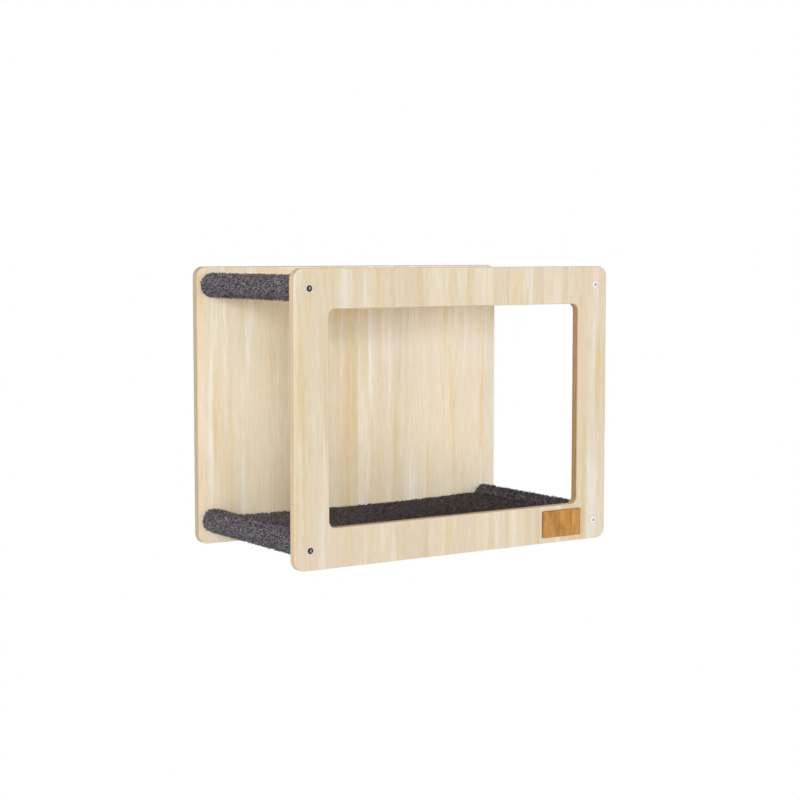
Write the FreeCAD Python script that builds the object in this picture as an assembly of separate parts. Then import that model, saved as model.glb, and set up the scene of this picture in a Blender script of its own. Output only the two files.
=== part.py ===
import FreeCAD, Part
import math
import os

# A wall-mounted cat hideout, in millimetres. The origin is the middle of the back
# panel's wall side, +X runs to the right, +Y into the wall and +Z up.

# Panels: two plywood sheets of one outline, held apart by four round rails.
PANEL_WIDTH = 532.0
PANEL_HEIGHT = 400.0
PANEL_THICKNESS = 12.0
PANEL_CORNER_R = 15.0
EDGE_CHAMFER = 0.8
OVERALL_DEPTH = 283.5

# Window in the front frame: the width of the border that is left on each side.
WINDOW_SIDE_BORDER = 54.0
WINDOW_TOP_BORDER = 54.0
WINDOW_BOTTOM_BORDER = 54.0
WINDOW_CORNER_R = 10.0

# Bare wooden badge, glued to the front frame's lower border.
BADGE_WIDTH = 69.5
BADGE_HEIGHT = 39.0
BADGE_THICKNESS = 3.0
BADGE_CORNER_R = 1.5
BADGE_CHAMFER = 0.5
BADGE_SIDE_INSET = 48.0
BADGE_RISE = 8.2

# Rails: each axis is placed from the panel's own edges.
RAIL_DIAMETER = 28.0
RAIL_SIDE_INSET = 22.6
TOP_RAIL_DROP = 26.5
BOTTOM_RAIL_RISE = 33.8

# Carpet: one thickness serves the sleeves on the top rails and the floor sling.
CARPET_THICKNESS = 2.5
CARPET_GLUE_GAP = 0.05
CARPET_END_GAP = 0.3
SLEEVE_SEAM_GAP = 0.6

# Floor sling: how far its top crease lies over the rail's axis, and its sag and hem.
CREASE_RISE = 4.9
CREASE_R = 1.5
FLOOR_SAG = 3.7
HEM_LENGTH = 35.0
POCKET_PINCH_SHARE = 0.68

# Bolts: the upper ones share the rails' axes. The lower ones sit below them, with
# this much wood left under their inserts.
BOTTOM_INSERT_COVER = 3.4
BOLT_DIAMETER = 6.0
BOLT_LENGTH = 25.0
BOLT_HOLE_CLEARANCE = 0.3
SOCKET_ACROSS_FLATS = 4.0
SOCKET_DEPTH = 1.8

# Front bolts have a low flat head with a chamfered rim.
FRONT_HEAD_DIAMETER = 10.6
FRONT_HEAD_HEIGHT = 2.2
FRONT_HEAD_CHAMFER = 0.9

# Rear bolts have a countersunk head, set just under the wall side.
REAR_HEAD_DIAMETER = 12.0
REAR_HEAD_RECESS = 0.3
COUNTERSINK_CLEARANCE = 0.05

# Threaded inserts in the rails' ends.
INSERT_WALL = 1.0
INSERT_LENGTH = 13.0
INSERT_SEAT_CLEARANCE = 0.02
THREAD_CLEARANCE = 0.05
BOLT_TIP_ROOM = 4.0

# Holes for the wall screws, countersunk from inside the hideout.
WALL_HOLE_DIAMETER = 5.5
WALL_COUNTERSINK_DIAMETER = 11.0
WALL_HOLE_SIDE_INSET = 66.0
WALL_HOLE_END_INSET = 20.0

# Cuts run past the faces that they open by this much.
CUT_OVERRUN = 1.0

# Places that follow from the sizes above.
FRONT_Y = -OVERALL_DEPTH
FRAME_BACK_Y = FRONT_Y + PANEL_THICKNESS
BACK_FRONT_Y = -PANEL_THICKNESS
RAIL_LENGTH = BACK_FRONT_Y - FRAME_BACK_Y
RAIL_R = RAIL_DIAMETER / 2
RAIL_X = PANEL_WIDTH / 2 - RAIL_SIDE_INSET
TOP_RAIL_Z = PANEL_HEIGHT / 2 - TOP_RAIL_DROP
BOTTOM_RAIL_Z = BOTTOM_RAIL_RISE - PANEL_HEIGHT / 2
BOLT_R = BOLT_DIAMETER / 2
BOLT_HOLE_R = BOLT_R + BOLT_HOLE_CLEARANCE
BOLT_REACH = BOLT_LENGTH - PANEL_THICKNESS + REAR_HEAD_RECESS
INSERT_R = BOLT_R + INSERT_WALL
INSERT_HOLE_DEPTH = max(INSERT_LENGTH, BOLT_REACH) + BOLT_TIP_ROOM
BOTTOM_BOLT_Z = BOTTOM_RAIL_Z - RAIL_R + INSERT_R + BOTTOM_INSERT_COVER
WRAP_INNER_R = RAIL_R + CARPET_GLUE_GAP
WRAP_OUTER_R = WRAP_INNER_R + CARPET_THICKNESS
CARPET_START_Y = FRAME_BACK_Y + CARPET_END_GAP
CARPET_LENGTH = RAIL_LENGTH - 2 * CARPET_END_GAP

# The floor's top is an arc through both creases and the lowest point of the sag.
CREASE_X = RAIL_X - math.sqrt(WRAP_OUTER_R**2 - CREASE_RISE**2)
FLOOR_R = (CREASE_X**2 + FLOOR_SAG**2) / (2 * FLOOR_SAG)
FLOOR_CENTRE_Z = BOTTOM_RAIL_Z + CREASE_RISE - FLOOR_SAG + FLOOR_R
FLOOR_CENTRE = FreeCAD.Vector(0, CARPET_START_Y, FLOOR_CENTRE_Z)
RING_CENTRE = FreeCAD.Vector(RAIL_X, CARPET_START_Y, BOTTOM_RAIL_Z)

# Each corner has its rail's place, in x and z, and then the height of its bolts.
CORNERS = {
    "top_left": (-RAIL_X, TOP_RAIL_Z, TOP_RAIL_Z),
    "top_right": (RAIL_X, TOP_RAIL_Z, TOP_RAIL_Z),
    "bottom_left": (-RAIL_X, BOTTOM_RAIL_Z, BOTTOM_BOLT_Z),
    "bottom_right": (RAIL_X, BOTTOM_RAIL_Z, BOTTOM_BOLT_Z),
}

TOWARDS_WALL = FreeCAD.Vector(0, 1, 0)
TOWARDS_FRONT = FreeCAD.Vector(0, -1, 0)
DIAGONAL_SHARE = math.sqrt(0.5)


def point(x, y, z):
    return FreeCAD.Vector(x, y, z)


def closed_face(edges):
    """A flat face inside edges that follow each other."""
    return Part.Face(Part.Wire(edges))


def cylinder(radius, x, z, start_y, length):
    """A round bar or cut that runs towards the wall from start_y."""
    return Part.makeCylinder(radius, length, point(x, start_y, z), TOWARDS_WALL)


def rounded_slab(width, height, corner_r, thickness, x, front_y, z):
    """A sheet with rounded corners, centred on x and z, from front_y to the rear."""
    edges = []
    corners = [(1, 1), (-1, 1), (-1, -1), (1, -1)]
    starts = []
    ends = []
    arcs = []
    for side_x, side_z in corners:
        centre_x = x + side_x * (width / 2 - corner_r)
        centre_z = z + side_z * (height / 2 - corner_r)
        on_side = point(centre_x + side_x * corner_r, front_y, centre_z)
        on_end = point(centre_x, front_y, centre_z + side_z * corner_r)
        reach = corner_r * DIAGONAL_SHARE
        middle = point(centre_x + side_x * reach, front_y, centre_z + side_z * reach)
        first, last = (on_side, on_end) if side_x == side_z else (on_end, on_side)
        arcs.append(Part.Arc(first, middle, last).toShape())
        starts.append(first)
        ends.append(last)
    for number, arc in enumerate(arcs):
        following = starts[(number + 1) % len(starts)]
        edges += [arc, Part.makeLine(ends[number], following)]
    return closed_face(edges).extrude(TOWARDS_WALL * thickness)


def eased(sheet, chamfer):
    """The sheet with all the edges of its two flat faces broken."""
    flat_edges = [edge for edge in sheet.Edges if edge.BoundBox.YLength < chamfer]
    return sheet.makeChamfer(chamfer, flat_edges)


def turned(outline, x, z):
    """A solid turned about the line along Y at x and z, from (radius, y) points."""
    corners = [point(x + radius, y, z) for radius, y in outline]
    wire = Part.makePolygon(corners + corners[:1])
    return Part.Face(wire).revolve(point(x, 0, z), TOWARDS_WALL, 360)


def hex_socket(x, z, mouth_y, direction):
    """The six-sided socket of a bolt, sunk from its mouth along direction."""
    corner_r = SOCKET_ACROSS_FLATS / math.sqrt(3)
    corners = []
    for number in range(6):
        angle = math.radians(60 * number)
        corners.append(
            point(x + corner_r * math.cos(angle), mouth_y, z + corner_r * math.sin(angle))
        )
    mouth = Part.Face(Part.makePolygon(corners + corners[:1]))
    mouth.translate(direction * -CUT_OVERRUN)
    return mouth.extrude(direction * (SOCKET_DEPTH + CUT_OVERRUN))


def back_panel():
    """The wall panel, drilled for the rear bolts and for the wall screws."""
    panel = eased(
        rounded_slab(
            PANEL_WIDTH, PANEL_HEIGHT, PANEL_CORNER_R, PANEL_THICKNESS, 0, BACK_FRONT_Y, 0
        ),
        EDGE_CHAMFER,
    )
    through = PANEL_THICKNESS + 2 * CUT_OVERRUN
    start_y = BACK_FRONT_Y - CUT_OVERRUN
    for x, _, bolt_z in CORNERS.values():
        mouth_r = REAR_HEAD_DIAMETER / 2 + REAR_HEAD_RECESS + COUNTERSINK_CLEARANCE
        depth = mouth_r - BOLT_HOLE_R
        panel = panel.cut(cylinder(BOLT_HOLE_R, x, bolt_z, start_y, through))
        panel = panel.cut(
            Part.makeCone(mouth_r, BOLT_HOLE_R, depth, point(x, 0, bolt_z), TOWARDS_FRONT)
        )
    for side_x in (-1, 1):
        for side_z in (-1, 1):
            x = side_x * (PANEL_WIDTH / 2 - WALL_HOLE_SIDE_INSET)
            z = side_z * (PANEL_HEIGHT / 2 - WALL_HOLE_END_INSET)
            hole_r = WALL_HOLE_DIAMETER / 2
            mouth_r = WALL_COUNTERSINK_DIAMETER / 2
            mouth = point(x, BACK_FRONT_Y, z)
            panel = panel.cut(cylinder(hole_r, x, z, start_y, through))
            panel = panel.cut(
                Part.makeCone(mouth_r, hole_r, mouth_r - hole_r, mouth, TOWARDS_WALL)
            )
    return panel


def front_frame():
    """The front sheet with its window, eased all round and drilled for the bolts."""
    window_width = PANEL_WIDTH - 2 * WINDOW_SIDE_BORDER
    window_height = PANEL_HEIGHT - WINDOW_TOP_BORDER - WINDOW_BOTTOM_BORDER
    window_z = (WINDOW_BOTTOM_BORDER - WINDOW_TOP_BORDER) / 2
    sheet = rounded_slab(
        PANEL_WIDTH, PANEL_HEIGHT, PANEL_CORNER_R, PANEL_THICKNESS, 0, FRONT_Y, 0
    )
    window = rounded_slab(
        window_width,
        window_height,
        WINDOW_CORNER_R,
        PANEL_THICKNESS + 2 * CUT_OVERRUN,
        0,
        FRONT_Y - CUT_OVERRUN,
        window_z,
    )
    frame = eased(sheet.cut(window), EDGE_CHAMFER)
    for x, _, bolt_z in CORNERS.values():
        hole = cylinder(
            BOLT_HOLE_R,
            x,
            bolt_z,
            FRONT_Y - CUT_OVERRUN,
            PANEL_THICKNESS + 2 * CUT_OVERRUN,
        )
        frame = frame.cut(hole)
    return frame


def badge_plate():
    """The bare plate on the front frame; only the edges of its face are broken."""
    x = PANEL_WIDTH / 2 - BADGE_SIDE_INSET - BADGE_WIDTH / 2
    z = BADGE_RISE + BADGE_HEIGHT / 2 - PANEL_HEIGHT / 2
    face_y = FRONT_Y - BADGE_THICKNESS
    plate = rounded_slab(
        BADGE_WIDTH, BADGE_HEIGHT, BADGE_CORNER_R, BADGE_THICKNESS, x, face_y, z
    )
    face_edges = [edge for edge in plate.Edges if edge.BoundBox.YMax < FRONT_Y - BADGE_CHAMFER]
    return plate.makeChamfer(BADGE_CHAMFER, face_edges)


def rail(x, z, bolt_z):
    """A round bar with a blind hole in each end for an insert and its bolt's tip."""
    bar = cylinder(RAIL_R, x, z, FRAME_BACK_Y, RAIL_LENGTH)
    seat_r = INSERT_R + INSERT_SEAT_CLEARANCE
    length = INSERT_HOLE_DEPTH + CUT_OVERRUN
    front_start = FRAME_BACK_Y - CUT_OVERRUN
    rear_start = BACK_FRONT_Y + CUT_OVERRUN - length
    for start_y in (front_start, rear_start):
        bar = bar.cut(cylinder(seat_r, x, bolt_z, start_y, length))
    return bar


def sleeve(x, z):
    """Carpet wrapped once round a top rail, with its butt seam along the underside."""
    wrap = cylinder(WRAP_OUTER_R, x, z, CARPET_START_Y, CARPET_LENGTH)
    core_start = CARPET_START_Y - CUT_OVERRUN
    core_length = CARPET_LENGTH + 2 * CUT_OVERRUN
    wrap = wrap.cut(cylinder(WRAP_INNER_R, x, z, core_start, core_length))
    seam_depth = WRAP_OUTER_R + CUT_OVERRUN
    corner = point(x - SLEEVE_SEAM_GAP / 2, core_start, z - seam_depth)
    seam = Part.makeBox(SLEEVE_SEAM_GAP, core_length, seam_depth, corner)
    return wrap.cut(seam)


def on_circle(centre, radius, direction):
    """The point of a circle that lies from its centre in a direction."""
    return centre + direction * (radius / direction.Length)


def inner_meeting(floor_r, ring_r):
    """Where a circle of the floor's centre meets one of a bottom rail's, inside of it."""
    apart = RING_CENTRE - FLOOR_CENTRE
    along = (floor_r**2 - ring_r**2 + apart.Length**2) / (2 * apart.Length)
    aside = math.sqrt(floor_r**2 - along**2)
    towards = on_circle(point(0, 0, 0), along, apart)
    across = on_circle(point(0, 0, 0), aside, point(apart.z, 0, -apart.x))
    meetings = [FLOOR_CENTRE + towards + across, FLOOR_CENTRE + towards - across]
    return min(meetings, key=lambda meeting: meeting.x)


def floor_point(x, depth):
    """A point of the sagging floor's section, depth below its top surface."""
    radius = FLOOR_R + depth
    return point(x, CARPET_START_Y, FLOOR_CENTRE_Z - math.sqrt(radius**2 - x**2))


def floor_arc(first, last, depth):
    """The floor's curve between two points, depth below its top surface."""
    middle = floor_point((first.x + last.x) / 2, depth)
    return Part.Arc(first, middle, last).toShape()


def sling_end():
    """The right end of the sling's section, from its top's middle to its underside's."""
    hem_depth = 2 * CARPET_THICKNESS
    hem_end_x = CREASE_X - HEM_LENGTH
    fillet_centre = inner_meeting(FLOOR_R - CREASE_R, WRAP_OUTER_R + CREASE_R)
    fillet_start = on_circle(FLOOR_CENTRE, FLOOR_R, fillet_centre - FLOOR_CENTRE)
    fillet_end = on_circle(RING_CENTRE, WRAP_OUTER_R, fillet_centre - RING_CENTRE)
    chord_middle = (fillet_start + fillet_end) / 2
    fillet_middle = on_circle(fillet_centre, CREASE_R, chord_middle - fillet_centre)
    ring_side = RING_CENTRE + point(WRAP_OUTER_R, 0, 0)
    hem_start = inner_meeting(FLOOR_R + hem_depth, WRAP_OUTER_R)
    hem_end = floor_point(hem_end_x, hem_depth)
    hem_root = floor_point(hem_end_x, CARPET_THICKNESS)
    return [
        floor_arc(floor_point(0, 0), fillet_start, 0),
        Part.Arc(fillet_start, fillet_middle, fillet_end).toShape(),
        Part.Arc(fillet_end, ring_side, hem_start).toShape(),
        floor_arc(hem_start, hem_end, hem_depth),
        Part.makeLine(hem_end, hem_root),
        floor_arc(hem_root, floor_point(0, CARPET_THICKNESS), CARPET_THICKNESS),
    ]


def rod_pocket():
    """The drop-shaped space round the right rail, pinched where the two layers meet."""
    reach = WRAP_INNER_R + POCKET_PINCH_SHARE * CARPET_THICKNESS
    tilt = math.pi - math.asin((CREASE_RISE - CARPET_THICKNESS) / reach)
    spread = math.acos(WRAP_INNER_R / reach)
    pinch, upper, lower, far_side = [
        RING_CENTRE + point(radius * math.cos(angle), 0, radius * math.sin(angle))
        for angle, radius in (
            (tilt, reach),
            (tilt - spread, WRAP_INNER_R),
            (tilt + spread, WRAP_INNER_R),
            (tilt + math.pi, WRAP_INNER_R),
        )
    ]
    return [
        Part.makeLine(pinch, upper),
        Part.Arc(upper, far_side, lower).toShape(),
        Part.makeLine(lower, pinch),
    ]


def floor_sling():
    """One carpet sheet that sags between the bottom rails, wraps them and is hemmed."""
    middle_plane = (point(0, 0, 0), point(1, 0, 0))
    end = sling_end()
    other_end = [edge.mirror(*middle_plane) for edge in reversed(end)]
    outline = Part.Wire(Part.sortEdges(end + other_end)[0])
    pocket = Part.Wire(rod_pocket())
    pockets = [pocket, pocket.mirror(*middle_plane)]
    section = Part.makeFace([outline] + pockets, "Part::FaceMakerBullseye")
    return section.extrude(TOWARDS_WALL * CARPET_LENGTH)


def front_bolt(x, z):
    """A bolt with a low flat head that seats on the front frame."""
    head_r = FRONT_HEAD_DIAMETER / 2
    top_y = FRONT_Y - FRONT_HEAD_HEIGHT
    tip_y = FRONT_Y + BOLT_LENGTH
    bolt = turned(
        [
            (0, top_y),
            (head_r - FRONT_HEAD_CHAMFER, top_y),
            (head_r, top_y + FRONT_HEAD_CHAMFER),
            (head_r, FRONT_Y),
            (BOLT_R, FRONT_Y),
            (BOLT_R, tip_y),
            (0, tip_y),
        ],
        x,
        z,
    )
    return bolt.cut(hex_socket(x, z, top_y, TOWARDS_WALL))


def rear_bolt(x, z):
    """A countersunk bolt, set a little under the wall side of the back panel."""
    head_r = REAR_HEAD_DIAMETER / 2
    mouth_y = -REAR_HEAD_RECESS
    tip_y = mouth_y - BOLT_LENGTH
    bolt = turned(
        [
            (0, mouth_y),
            (head_r, mouth_y),
            (BOLT_R, mouth_y - head_r + BOLT_R),
            (BOLT_R, tip_y),
            (0, tip_y),
        ],
        x,
        z,
    )
    return bolt.cut(hex_socket(x, z, mouth_y, TOWARDS_FRONT))


def rail_inserts(x, z):
    """The two threaded inserts of one rail, as plain tubes flush with its ends."""
    tubes = []
    for start_y in (FRAME_BACK_Y, BACK_FRONT_Y - INSERT_LENGTH):
        bore_start = start_y - CUT_OVERRUN
        bore_length = INSERT_LENGTH + 2 * CUT_OVERRUN
        tube = cylinder(INSERT_R, x, z, start_y, INSERT_LENGTH)
        bore = cylinder(BOLT_R + THREAD_CLEARANCE, x, z, bore_start, bore_length)
        tubes.append(tube.cut(bore))
    return Part.makeCompound(tubes)


def all_nodes():
    """Every piece of the hideout by its name."""
    nodes = {
        "back_panel": back_panel(),
        "front_frame": front_frame(),
        "badge_plate": badge_plate(),
        "floor_sling": floor_sling(),
    }
    for corner, (x, rail_z, bolt_z) in CORNERS.items():
        nodes[f"{corner}_rail"] = rail(x, rail_z, bolt_z)
        nodes[f"{corner}_front_bolt"] = front_bolt(x, bolt_z)
        nodes[f"{corner}_rear_bolt"] = rear_bolt(x, bolt_z)
        nodes[f"{corner}_rail_inserts"] = rail_inserts(x, bolt_z)
    for corner in ("top_left", "top_right"):
        x, rail_z, _ = CORNERS[corner]
        nodes[f"{corner}_sleeve"] = sleeve(x, rail_z)
    return nodes


os.makedirs("parts", exist_ok=True)
for name, solid in all_nodes().items():
    solid.exportStep(f"parts/{name}.step")
    print(name, "volume", round(solid.Volume), "valid", solid.isValid())
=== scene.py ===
"""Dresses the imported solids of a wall-mounted cat hideout.

The plywood, rails, badge plate, bolts and inserts keep their solids and get their finishes here.
The carpet is modelled again as thin backing sheets with a cut pile. Lengths are in metres.
"""

import math

import bmesh
import bpy
from bpy.props import FloatProperty, FloatVectorProperty, IntProperty, PointerProperty
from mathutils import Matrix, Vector


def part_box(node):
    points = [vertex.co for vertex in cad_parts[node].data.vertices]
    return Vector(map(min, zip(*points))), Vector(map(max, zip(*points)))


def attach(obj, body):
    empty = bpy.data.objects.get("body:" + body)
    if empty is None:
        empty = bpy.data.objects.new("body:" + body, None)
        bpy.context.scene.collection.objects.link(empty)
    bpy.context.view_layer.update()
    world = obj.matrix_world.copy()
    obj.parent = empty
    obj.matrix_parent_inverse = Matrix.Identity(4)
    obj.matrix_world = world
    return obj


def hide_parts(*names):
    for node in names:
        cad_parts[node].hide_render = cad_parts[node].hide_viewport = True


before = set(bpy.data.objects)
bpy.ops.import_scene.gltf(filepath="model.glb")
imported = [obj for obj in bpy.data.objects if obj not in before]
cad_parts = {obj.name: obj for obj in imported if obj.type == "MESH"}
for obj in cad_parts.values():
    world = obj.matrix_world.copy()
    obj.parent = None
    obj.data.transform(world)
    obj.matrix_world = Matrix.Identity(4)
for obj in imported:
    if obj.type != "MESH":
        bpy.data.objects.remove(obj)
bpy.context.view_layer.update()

bl_info = {
    "name": "Wall-mounted cat hideout",
    "version": (1, 0, 0),
    "blender": (4, 5, 0),
    "location": "3D View > Sidebar > Hideout",
    "description": "Finishes the plywood, carpet and bolts of a cat hideout for the wall",
    "category": "Object",
}

BODY = "root"
ORIGIN = (0.0, 0.0, 0.0)
WHITE = (1.0, 1.0, 1.0)
BLACK = (0.0, 0.0, 0.0)

# The nodes of each finish
SIDES = ("left", "right")
CORNERS = ("top_left", "top_right", "bottom_left", "bottom_right")
RAILS = [f"{corner}_rail" for corner in CORNERS]
BOLTS = [f"{corner}_{end}_bolt" for corner in CORNERS for end in ("front", "rear")]
INSERTS = [f"{corner}_rail_inserts" for corner in CORNERS]

# The plywood sheets: each one's place in the grain, its tones from left to right and its edge's tone. The
# back panel's tones are painted light: they lighten it against the shade inside the hideout, more towards
# the right
FRAME_LOW, FRAME_HIGH = (Vector(corner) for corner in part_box("front_frame"))
BACK_LOW, BACK_HIGH = (Vector(corner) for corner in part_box("back_panel"))
FRONT_SHIFT = (37.7, -33.3, 7.7)
FRONT_TONES = ((0.885, 0.875, 0.885), (0.945, 0.94, 0.96))
# Both sheets' edges are the same plywood: the front frame's edges are painted light and the back panel's
# painted shade
FRONT_EDGE_PAINTED_LIGHT = 1.13
BACK_SHIFT = (4.7, -13.2, 1.4)
BACK_PAINTED_LIGHT_TONES = ((1.105, 1.085, 1.085), (1.13, 1.13, 1.18))
BACK_EDGE_PAINTED_SHADE = 0.93

# The veneer's streaks: where a mask starts and is full, its share and the colour that it brings
STREAK_DEPTH = 0.05
STREAK_WANDER = 0.35
STREAK_RIPPLE = 0.07
STREAKS = (
    ("Blush", 0.40, 0.66, 1.0, "face_blush"),
    ("Light", 0.46, 0.74, 1.0, "face_pale"),
    ("Gold", 0.47, 0.75, 0.85, "face_gold"),
)
STRIP_TINTS = ((0.2, (0.965, 0.96, 0.94)), (0.8, (1.02, 1.02, 1.02)))
FIBRE_TINTS = ((0.3, (0.93, 0.92, 0.9)), (0.65, (1.03, 1.03, 1.03)))
FLECK_SHARE = 0.55

# The plies at an edge, which take turns at the glue lines, in shares of the sheet's thickness
GLUE_LINES = (0.115, 0.375, 0.625, 0.885)
GLUE_REACH = 0.025
GLUE_SHARE = 0.25
PLY_BLUR = 0.015
PLY_WANDER = 0.03
PLY_TINTS = ((0.3, (0.9, 0.89, 0.87)), (0.7, (1.04, 1.04, 1.04)))

# The browned edge of the window, weaker on its level runs and redder in its long plies
BURN_INSET = 0.052
BURN_LEVEL_SHARE = 0.15
BURN_CROSS = (0.82, 0.87, 1.05)

# The rails' and the badge plate's wood
RAIL_GRAIN = (0.006, 0.006, 0.2)
RAIL_STREAK_SHADE = 0.78
BADGE_GRAIN = (0.006, 0.01, 0.03)
BADGE_MOTTLE = (0.005, 0.005, 0.008)
MOTTLE_TINTS = ((0.35, (0.88, 0.86, 0.82)), (0.65, (1.05, 1.05, 1.05)))
BADGE_SIDE_SHADE = 0.55

# The bolts, whose sockets lie near their axes and between the faces of their heads, and the painted shade
# that darkens those sockets
BOLT_LOW, BOLT_HIGH = (Vector(corner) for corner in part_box("top_right_front_bolt"))
REAR_BOLT_HIGH = Vector(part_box("top_right_rear_bolt")[1])
BOLT_AXIS = (BOLT_LOW + BOLT_HIGH) / 2
SOCKET_REACH = 0.0035
SOCKET_LIP = 0.0004
SOCKET_PAINTED_SHADE = 0.68
BOLT_ROUGHNESS = 0.06
INSERT_ROUGHNESS = 0.25
DULL_ROUGHNESS = 0.12
SCRATCH_SHARE = 0.3
SCRATCH_SHADE = 0.75

# The carpet, whose solids give the wrap and whose section repeats the sling's drawn sizes
SLEEVE_LOW, SLEEVE_HIGH = (Vector(corner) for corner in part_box("top_right_sleeve"))
RAIL_LOW, RAIL_HIGH = (Vector(corner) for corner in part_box("bottom_right_rail"))
WRAP_RADIUS = (SLEEVE_HIGH.x - SLEEVE_LOW.x) / 2
RAIL_RADIUS = (RAIL_HIGH.x - RAIL_LOW.x) / 2
RAIL_CENTRE = ((RAIL_LOW + RAIL_HIGH) / 2).xz
GLUE = 0.00005
CARPET = WRAP_RADIUS - RAIL_RADIUS - GLUE
BACKING = 0.0012
DEPTH = CARPET - BACKING / 2
CREASE_RISE = 0.0049
CREASE_FILLET = 0.0015
FLOOR_SAG = 0.0037
HEM_LENGTH = 0.035
SEAM_OPENING = 0.0012
SLING_SEED = 10
PILE_CUTS = (-0.3, -0.214, -0.072, 0.072, 0.214, 0.3)
PILE_PARTS = ("left_roll", "left_floor", "middle_floor", "right_floor", "right_roll")
ROW_STEPS = 30
SLEEVE_STEPS = 64
FLOOR_STEPS = 24
WRAP_STEPS = 44
BEND_STEPS = 5
WELD_DISTANCE = 0.00002
MIRROR_DISTANCE = 0.00005
SHEET_SMOOTHING = math.radians(40)
ORDER_AXIS = Vector((1.0, 7.31, 53.7))
GROUND_CLUMP = 0.0016
# Painted shade: the ground between the tufts is darkened by this share
GROUND_PAINTED_SHADE = 0.45
WEAVE_PITCH = 0.0022
WEAVE_FUZZ = 0.0012
WEAVE_PAINTED_SHADE = 0.45

# The row of stitches along each hem
CREASE_X = RAIL_CENTRE.x - math.sqrt(WRAP_RADIUS ** 2 - CREASE_RISE ** 2)
SEAM_INSET = 0.008
SEAM_X = CREASE_X - HEM_LENGTH + SEAM_INSET
SEAM_GROOVE = 0.0036
STITCH_LENGTH = 0.0044
STITCH_PITCH = 0.0058
STITCH_BEND = 0.3 * STITCH_LENGTH
STITCH_END = 0.4 * STITCH_LENGTH
STITCH_TAPER = 0.7
THREAD_RADIUS = 0.00045
THREAD_SIDES = 6
THREAD_DIP = 2 * THREAD_RADIUS
THREAD_TWIST = (0.0006, 0.0004, 0.0006)
THREAD_SMOOTHING = math.radians(65)

# A tuft of the pile, in shares of its width and length, and its shades from foot to tip: the dark foot is
# painted shade among the tufts, and a light band below a duller tip breaks its streaks into specks
TUFT_SIDES = 3
TUFT_FOOT = 0.4
TUFT_BELLY = 0.6
TUFT_BELLY_RANGE = (0.3, 0.8)
TUFT_BELLY_GROWTH = 3.0
TUFT_BELLY_LEAN = 0.08
TUFT_TIP_LEAN = 0.32
TUFT_LIGHT_CENTRE = -0.3
TUFT_BANDS_AND_PAINTED_SHADE = ((0.0, 0.55), (0.5, 0.85), (0.75, 1.15), (1.0, 0.8))

# The pile's spread: where in X the nap turns and the right roll starts, and the floor's reach in X
NAP_TURN = (-0.17, 0.03)
ROLL_START = (0.2, 0.225)
FLOOR_MIDDLE = 0.05
FLOOR_REACH = (0.15, 0.2)
# The floor's pile is painted darker by this share: painted shade inside the hideout
FLOOR_PAINTED_SHADE = 0.7
SPREAD_TRIES = 2.0
TUFT_SCALES = (0.8, 1.55)
TUFT_SCALE_POWER = 2.5
CLUMP_SIZE = 0.0045
CLUMP_RANGE = (0.3, 0.7)
CLUMP_SHARE = 0.25
CHANCE_SHARE = 0.7
ROUND_SHARE = 0.03

# The view of the photograph
CAMERA_PLACE = (-1.44312, -2.27648, 0.22361)
CAMERA_YAW = 33.996
CAMERA_PITCH = 4.83
CAMERA_LENS = 79.9
CAMERA_SENSOR = 36.0

# The studio's lamps: degrees to the left of the front, degrees up, width and tint
LAMP_DISTANCE = 8.0
LAMPS = (
    ("key", 29.0, 8.0, 1.6, (0.755, 1.0, 1.3)),
    ("front_fill", 20.0, 13.0, 6.0, (1.25, 1.0, 0.55)),
    ("left_fill", 75.0, 14.0, 3.0, (1.07, 1.0, 0.87)),
    ("right_front", -40.0, 8.0, 3.0, (0.92, 0.97, 1.12)),
    ("right_fill", -76.0, 8.0, 3.0, (1.08, 1.0, 0.85)),
    ("rear_fill", 200.0, 15.0, 4.8, (1.0, 1.0, 1.0)),
)

# The sky, weaker and cooler overhead, the floor, which glows more far away, and the dark card
SKY_TINT = (1.38, 0.97, 0.42)
SKY_TOP_TINT = (1.0, 0.97, 1.0)
SKY_TOP_SHARE = 0.3
SKY_RISE = (0.0, 0.7)
FLOOR_SIZE = 30.0
FLOOR_GREY = (0.9, 0.9, 0.9)
FLOOR_ROUGHNESS = 0.9
GLOW_REACH = (0.5, 1.6)
GLOW_SHARES = (0.8, 1.0)
CARD_PLACE = (1.07, -2.43, -0.2)
CARD_SIZE = (0.58, 1.1)
CARD_BLACK = (0.002, 0.002, 0.002)
CARD_ROUGHNESS = 1.0


def srgb(red, green, blue):
    """A colour on the screen's scale of 0 to 255, as linear light."""
    shares = (red / 255, green / 255, blue / 255)
    return tuple(s / 12.92 if s < 0.04045 else ((s + 0.055) / 1.055) ** 2.4 for s in shares)


def dimmed(colour, share):
    return tuple(part * share for part in colour)


def colour_setting(name, description, shown):
    return FloatVectorProperty(name=name, description=description, default=srgb(*shown),
                               subtype="COLOR", size=3, min=0.0, max=1.0)


def number_setting(subtype, unit, scale=1.0, **limits):
    """A maker of one kind of setting, from a name, a description and a value."""
    return lambda name, description, value: FloatProperty(
        name=name, description=description, default=value * scale, subtype=subtype, unit=unit,
        min=0.0, **limits)


length_setting = number_setting("DISTANCE", "LENGTH", precision=4)
angle_setting = number_setting("ANGLE", "ROTATION", math.radians(1), max=math.radians(80))
lamp_setting = number_setting("POWER", "POWER")


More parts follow.
